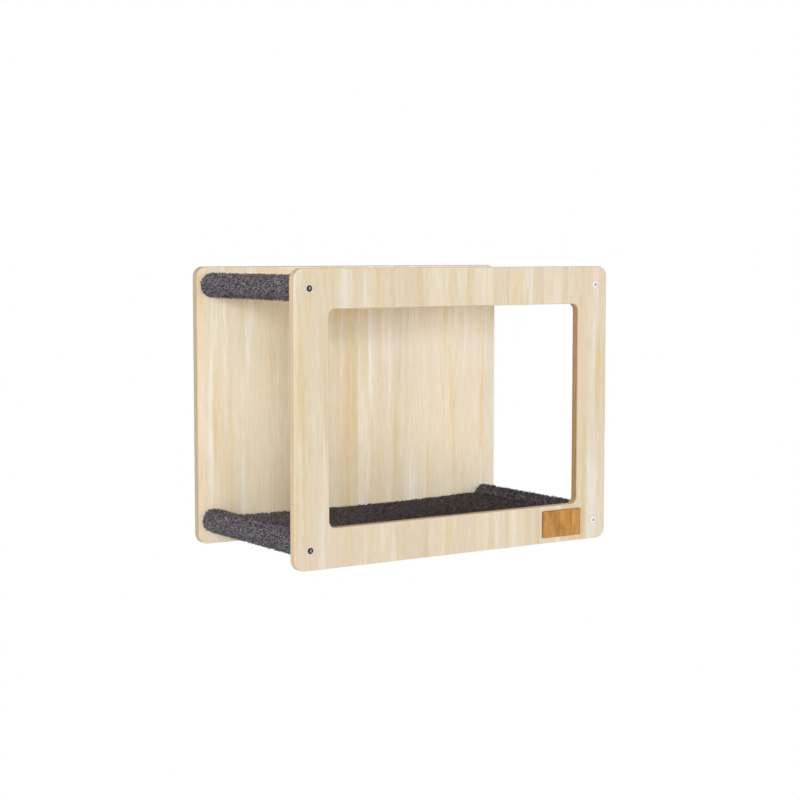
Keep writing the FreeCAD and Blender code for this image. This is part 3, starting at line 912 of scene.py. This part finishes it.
def grow_pile(sheet, name, nodes, seed, low_x=-1.0, high_x=1.0):
    """A pile of tufts on part of a sheet's middle surface."""
    pile = copy_of(sheet, name)
    modifier = pile.modifiers.new("Pile", "NODES")
    modifier.node_group = nodes
    values = {"Low X": low_x, "High X": high_x, "Seed": seed}
    for item in nodes.interface.items_tree:
        if item.name in values:
            modifier[item.identifier] = values[item.name]
    bpy.ops.object.modifier_apply(modifier=modifier.name)
    if not pile.data.polygons:
        raise RuntimeError(f"no tuft grew on {name}")
    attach(pile, BODY)
    return pile


class HideoutOperator:
    """What every operator of the hideout shares."""

    bl_options = {"REGISTER", "UNDO"}


class HIDEOUT_OT_panels(HideoutOperator, bpy.types.Operator):
    """Finish the back panel and the front frame as varnished plywood."""

    bl_idname = "hideout.panels"
    bl_label = "Plywood panels"

    def execute(self, context):
        wood = context.scene.hideout.wood
        finish_nodes(["back_panel"], plywood(
            "back_plywood", BACK_LOW.y, BACK_HIGH.y, wood, BACK_SHIFT, BACK_PAINTED_LIGHT_TONES, BACK_EDGE_PAINTED_SHADE))
        finish_nodes(["front_frame"], plywood(
            "front_plywood", FRAME_LOW.y, FRAME_HIGH.y, wood, FRONT_SHIFT, FRONT_TONES, FRONT_EDGE_PAINTED_LIGHT,
            window=True))
        return {"FINISHED"}


class HIDEOUT_OT_rails(HideoutOperator, bpy.types.Operator):
    """Finish the four round rails as bare wood."""

    bl_idname = "hideout.rails"
    bl_label = "Rails"

    def execute(self, context):
        finish_nodes(RAILS, round_wood(context.scene.hideout.wood))
        return {"FINISHED"}


class HIDEOUT_OT_badge(HideoutOperator, bpy.types.Operator):
    """Finish the bare badge plate as stained wood."""

    bl_idname = "hideout.badge"
    bl_label = "Badge plate"

    def execute(self, context):
        finish_nodes(["badge_plate"], stained_wood(context.scene.hideout.wood))
        return {"FINISHED"}


class HIDEOUT_OT_fasteners(HideoutOperator, bpy.types.Operator):
    """Finish the bolts and the threaded inserts."""

    bl_idname = "hideout.fasteners"
    bl_label = "Bolts and inserts"

    def execute(self, context):
        metal = context.scene.hideout.metal
        finish_nodes(BOLTS, plated("bolt_plating", metal.bolt, BOLT_ROUGHNESS))
        finish_nodes(INSERTS, plated("insert_brass", metal.insert, INSERT_ROUGHNESS))
        return {"FINISHED"}


class HIDEOUT_OT_carpet(HideoutOperator, bpy.types.Operator):
    """Make the top rails' sleeves and the floor sling from carpet with a cut pile."""

    bl_idname = "hideout.carpet"
    bl_label = "Carpet"

    def execute(self, context):
        carpet = context.scene.hideout.carpet
        ground = pile_ground(carpet)
        back = woven_back(carpet)
        tuft = make_tuft(carpet, pile_yarn(carpet))
        nodes = pile_nodes(tuft, carpet)
        self.sleeves(carpet, nodes, ground, back)
        self.sling(carpet, nodes, ground, back)
        bpy.data.objects.remove(tuft)
        return {"FINISHED"}

    def thicken(self, sheet, ground, back):
        set_materials(sheet, ground, back)
        apply_modifier(sheet, "SOLIDIFY", thickness=BACKING, offset=0.0, material_offset=1,
                       material_offset_rim=1, use_quality_normals=True)
        bpy.ops.object.shade_smooth_by_angle(angle=SHEET_SMOOTHING)
        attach(sheet, BODY)

    def sleeves(self, carpet, nodes, ground, back):
        radius = WRAP_RADIUS - DEPTH
        opening = SEAM_OPENING / radius
        for number, side in enumerate(SIDES):
            node = f"top_{side}_sleeve"
            low, high = (Vector(corner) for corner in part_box(node))
            centre = ((low + high) / 2).xz
            start, end = -math.pi / 2 + opening / 2, -math.pi / 2 - opening / 2
            sleeve = carpet_row(f"{node}_carpet", at_bearing(centre, radius, start))
            sweep(centre, start, end, False, SLEEVE_STEPS)
            close_sheet(sleeve, lambda mesh: all(
                polygon.normal.dot(polygon.center - Vector((centre.x, polygon.center.y, centre.y))) > 0
                for polygon in mesh.polygons))
            pile = grow_pile(sleeve, f"{node}_pile", nodes, carpet.pile_seed + number)
            self.thicken(sleeve, ground, back)
            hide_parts(node)

    def sling(self, carpet, nodes, ground, back):
        crease_z = RAIL_CENTRE.y + CREASE_RISE
        floor_radius = (CREASE_X ** 2 + FLOOR_SAG ** 2) / (2 * FLOOR_SAG)
        middle = Vector((0.0, crease_z - FLOOR_SAG + floor_radius))
        outer = WRAP_RADIUS + CREASE_FILLET
        upper = inner_meeting(middle, floor_radius - CREASE_FILLET, RAIL_CENTRE, outer)
        lower = inner_meeting(middle, floor_radius + 2 * CARPET + CREASE_FILLET, RAIL_CENTRE, outer)
        bend = CREASE_FILLET + DEPTH
        down = -math.pi / 2
        hem_radius = floor_radius + 2 * CARPET - DEPTH
        hem_end = -math.acos((CREASE_X - HEM_LENGTH) / hem_radius)
        runs = [
            (middle, floor_radius + DEPTH, down, bearing(middle, upper), False, FLOOR_STEPS),
            (upper, bend, bearing(middle, upper), bearing(upper, RAIL_CENTRE), False, BEND_STEPS),
            (RAIL_CENTRE, WRAP_RADIUS - DEPTH, bearing(RAIL_CENTRE, upper), bearing(RAIL_CENTRE, lower),
             True, WRAP_STEPS),
            (lower, bend, bearing(lower, RAIL_CENTRE), bearing(lower, middle), False, BEND_STEPS),
            (middle, hem_radius, bearing(middle, lower), hem_end, True, BEND_STEPS),
        ]
        sling = carpet_row("floor_sling_carpet", at_bearing(middle, floor_radius + DEPTH, down))
        for centre, _, start, end, clockwise, steps in runs:
            sweep(centre, start, end, clockwise, steps)
        leave_edit()
        apply_modifier(sling, "MIRROR", use_axis=(True, False, False), use_clip=True,
                       merge_threshold=MIRROR_DISTANCE)
        close_sheet(sling, lambda mesh: min(
            mesh.polygons, key=lambda polygon: abs(polygon.center.x)).normal.z > 0)
        piles = [grow_pile(sling, f"floor_sling_{part}_pile", nodes,
                           carpet.pile_seed + SLING_SEED + number, low, high)
                 for number, (part, low, high) in enumerate(zip(PILE_PARTS, PILE_CUTS, PILE_CUTS[1:]))]
        seam_z = middle.y - math.sqrt(hem_radius ** 2 - SEAM_X ** 2) - BACKING / 2
        yarn = thread(carpet)
        seams = [sew_row(f"{side}_hem_stitches", Vector((turn * SEAM_X, seam_z)), yarn)
                 for side, turn in zip(SIDES, (-1, 1))]
        self.thicken(sling, ground, back)
        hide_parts("floor_sling")


class HIDEOUT_OT_stage(HideoutOperator, bpy.types.Operator):
    """Set up the floor, the lamps, the white surroundings and the camera."""

    bl_idname = "hideout.stage"
    bl_label = "Studio"

    def execute(self, context):
        stage = context.scene.hideout.stage
        self.floor(stage)
        self.sky(context, stage)
        self.lamps(context, stage)
        self.card()
        self.camera(context)
        context.scene.view_settings.view_transform = "Standard"
        return {"FINISHED"}

    def floor(self, stage):
        bpy.ops.mesh.primitive_plane_add(size=FLOOR_SIZE, location=(0.0, 0.0, -stage.floor_drop))
        floor = added("studio_floor")
        net = Finish("studio_floor")
        set_materials(floor, net.done(FLOOR_GREY, FLOOR_ROUGHNESS, gloss=0.0))
        away = net.add("ShaderNodeVectorMath", {0: net.place}, operation="LENGTH").outputs["Value"]
        glowing = net.times(seen_rays(net), net.span(away, GLOW_REACH, GLOW_SHARES))
        glow = net.take("ShaderNodeEmission", {"Strength": 1.0})
        mixed = net.take("ShaderNodeMixShader", {0: glowing, 1: net.shader.outputs[0], 2: glow})
        net.feed(net.tree.nodes["Material Output"].inputs[0], mixed)

    def sky(self, context, stage):
        world = bpy.data.worlds.new("studio_sky")
        context.scene.world = world
        world.use_nodes = True
        net = Net(world.node_tree)
        background = world.node_tree.nodes["Background"]
        seen = seen_rays(net)
        height = net.split(net.add("ShaderNodeTexCoord").outputs["Generated"])[2]
        overhead = net.step(height, *SKY_RISE)
        even = net.between(overhead, stage.sky, stage.sky * SKY_TOP_SHARE)
        tint = net.blend(overhead, SKY_TINT, SKY_TOP_TINT)
        strength = net.take("ShaderNodeMix", {0: seen, 2: even, 3: 1.0})
        net.feed(background.inputs["Color"], net.blend(seen, tint, WHITE))
        net.feed(background.inputs["Strength"], strength)

    def placed(self, context, data):
        """An object in the scene for a lamp or a camera, under the same name."""
        obj = bpy.data.objects.new(data.name, data)
        context.scene.collection.objects.link(obj)
        return obj

    def lamps(self, context, stage):
        aim = Vector((0.0, FRAME_LOW.y / 2, 0.0))
        for name, turn, rise, size, tint in LAMPS:
            lamp = bpy.data.lights.new(name, "AREA")
            lamp.shape = "SQUARE"
            lamp.size = size
            lamp.energy = getattr(stage, name)
            lamp.color = tint
            obj = self.placed(context, lamp)
            turn, rise = math.radians(turn), math.radians(rise)
            level = math.cos(rise)
            towards = Vector((-math.sin(turn) * level, -math.cos(turn) * level, math.sin(rise)))
            obj.location = aim + towards * LAMP_DISTANCE
            obj.visible_glossy = False
            obj.rotation_euler = (-towards).to_track_quat("-Z", "Y").to_euler()

    def card(self):
        """A dark card beside the camera, for the bright bolts on the left to mirror."""
        bpy.ops.mesh.primitive_plane_add(size=1.0, location=CARD_PLACE, rotation=(math.pi / 2, 0.0, 0.0))
        card = added("dark_card")
        card.scale = (*CARD_SIZE, 1.0)
        set_materials(card, Finish("dark_card").done(CARD_BLACK, CARD_ROUGHNESS, gloss=0.0))
        card.visible_camera = card.visible_diffuse = card.visible_shadow = False

    def camera(self, context):
        camera = bpy.data.cameras.new("photo_camera")
        camera.lens = CAMERA_LENS
        camera.sensor_width = CAMERA_SENSOR
        obj = self.placed(context, camera)
        obj.location = CAMERA_PLACE
        obj.rotation_euler = (math.radians(90 - CAMERA_PITCH), 0.0, math.radians(-CAMERA_YAW))
        context.scene.camera = obj


def seen_rays(net):
    """1 for rays that show the surroundings to the camera, also by way of metal and glass."""
    path = net.add("ShaderNodeLightPath").outputs
    direct = net.maths("MAXIMUM", path["Is Camera Ray"], path["Is Glossy Ray"])
    return net.maths("MAXIMUM", direct, path["Is Transmission Ray"])


class HIDEOUT_PT_panel(bpy.types.Panel):
    """Lists the hideout's pieces and their settings."""

    bl_idname = "HIDEOUT_PT_panel"
    bl_label = "Cat hideout"
    bl_space_type = "VIEW_3D"
    bl_region_type = "UI"
    bl_category = "Hideout"

    def draw(self, context):
        settings = context.scene.hideout
        for operator in OPERATORS:
            self.layout.operator(operator.bl_idname)
        for group in (settings.wood, settings.carpet, settings.metal, settings.stage):
            box = self.layout.box()
            for name in group.__annotations__:
                box.prop(group, name)


GROUPS = (HideoutWood, HideoutCarpet, HideoutMetal, HideoutStage, HideoutSettings)
OPERATORS = (HIDEOUT_OT_stage, HIDEOUT_OT_panels, HIDEOUT_OT_rails, HIDEOUT_OT_badge,
             HIDEOUT_OT_fasteners, HIDEOUT_OT_carpet)
CLASSES = GROUPS + OPERATORS + (HIDEOUT_PT_panel,)


def register():
    for cls in CLASSES:
        bpy.utils.register_class(cls)
    bpy.types.Scene.hideout = PointerProperty(type=HideoutSettings, name="Hideout")


def unregister():
    del bpy.types.Scene.hideout
    for cls in reversed(CLASSES):
        bpy.utils.unregister_class(cls)


def main():
    register()
    bpy.ops.hideout.stage()
    bpy.ops.hideout.panels()
    bpy.ops.hideout.rails()
    bpy.ops.hideout.badge()
    bpy.ops.hideout.fasteners()
    bpy.ops.hideout.carpet()


if __name__ == "__main__":
    main()
